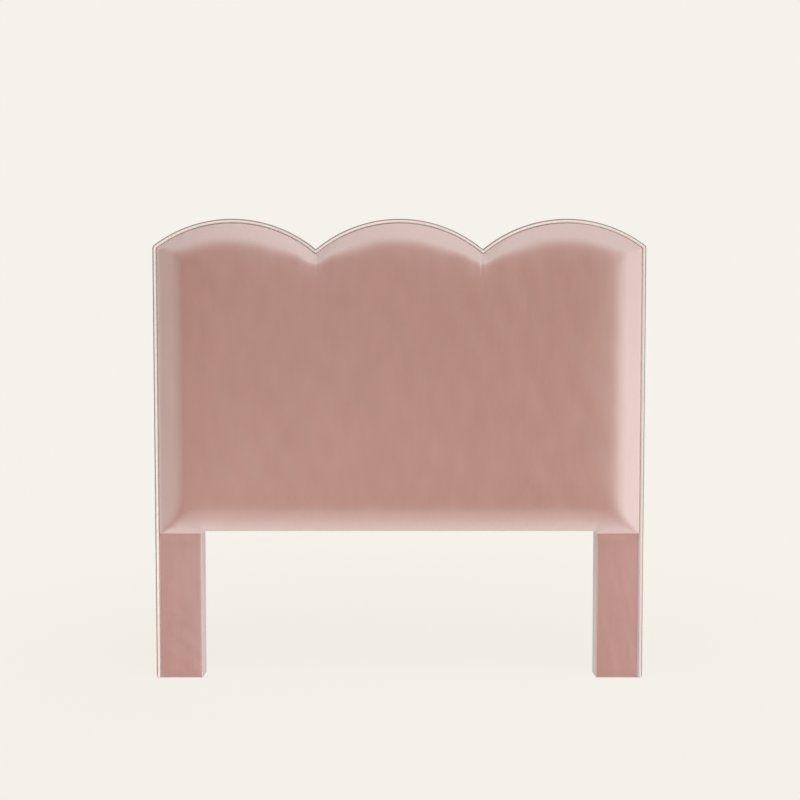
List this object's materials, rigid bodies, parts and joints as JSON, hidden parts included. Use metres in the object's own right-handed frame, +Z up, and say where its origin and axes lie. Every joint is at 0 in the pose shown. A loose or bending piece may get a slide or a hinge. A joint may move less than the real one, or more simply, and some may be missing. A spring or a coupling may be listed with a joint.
{
  "type": "upholstered headboard",
  "caption": "Free-standing upholstered headboard with a padded velvet panel, a three-scallop crest edged in self-fabric welt, and two upholstered legs with bolt holes for a bed frame.",
  "frame": {"origin": "on the floor, under the middle of the headboard's bounding box", "axes": "+X is the width, to the right for someone looking at the padded front; the padded front faces -Y and the back faces +Y; +Z is up"},
  "size_m": [1.575, 0.0936, 1.481],
  "materials": {
    "velvet": "matte",
    "cambric": "matte",
    "foam": "matte",
    "batting": "matte",
    "cotton_cord": "matte",
    "softwood": "matte",
    "hardwood": "matte",
    "plywood": "matte",
    "tack_board": "matte",
    "zinc_steel": "satin",
    "nylon": "satin"
  },
  "bodies": {
    "root": {"left_post": "softwood", "right_post": "softwood", "crest_rail": "softwood", "mid_rail": "softwood", "bottom_rail": "softwood", "lower_stile": "softwood", "upper_stile": "softwood", "corner_blocks": "softwood", "frame_dowels": "hardwood", "block_screws": "zinc_steel", "face_panel": "plywood", "left_leg_facing": "plywood", "right_leg_facing": "plywood", "panel_screws": "zinc_steel", "facing_screws": "zinc_steel", "foam_slab": "foam", "batting": "batting", "front_cover": "velvet", "welt_cord": "cotton_cord", "welt_cover": "velvet", "tack_strip": "tack_board", "left_boxing": "velvet", "crest_boxing": "velvet", "right_boxing": "velvet", "left_leg_batting": "batting", "right_leg_batting": "batting", "left_leg_cover": "velvet", "right_leg_cover": "velvet", "dust_cover": "cambric", "back_staples": "zinc_steel", "left_floor_glides": "nylon", "right_floor_glides": "nylon"}
  },
  "joints": []
}
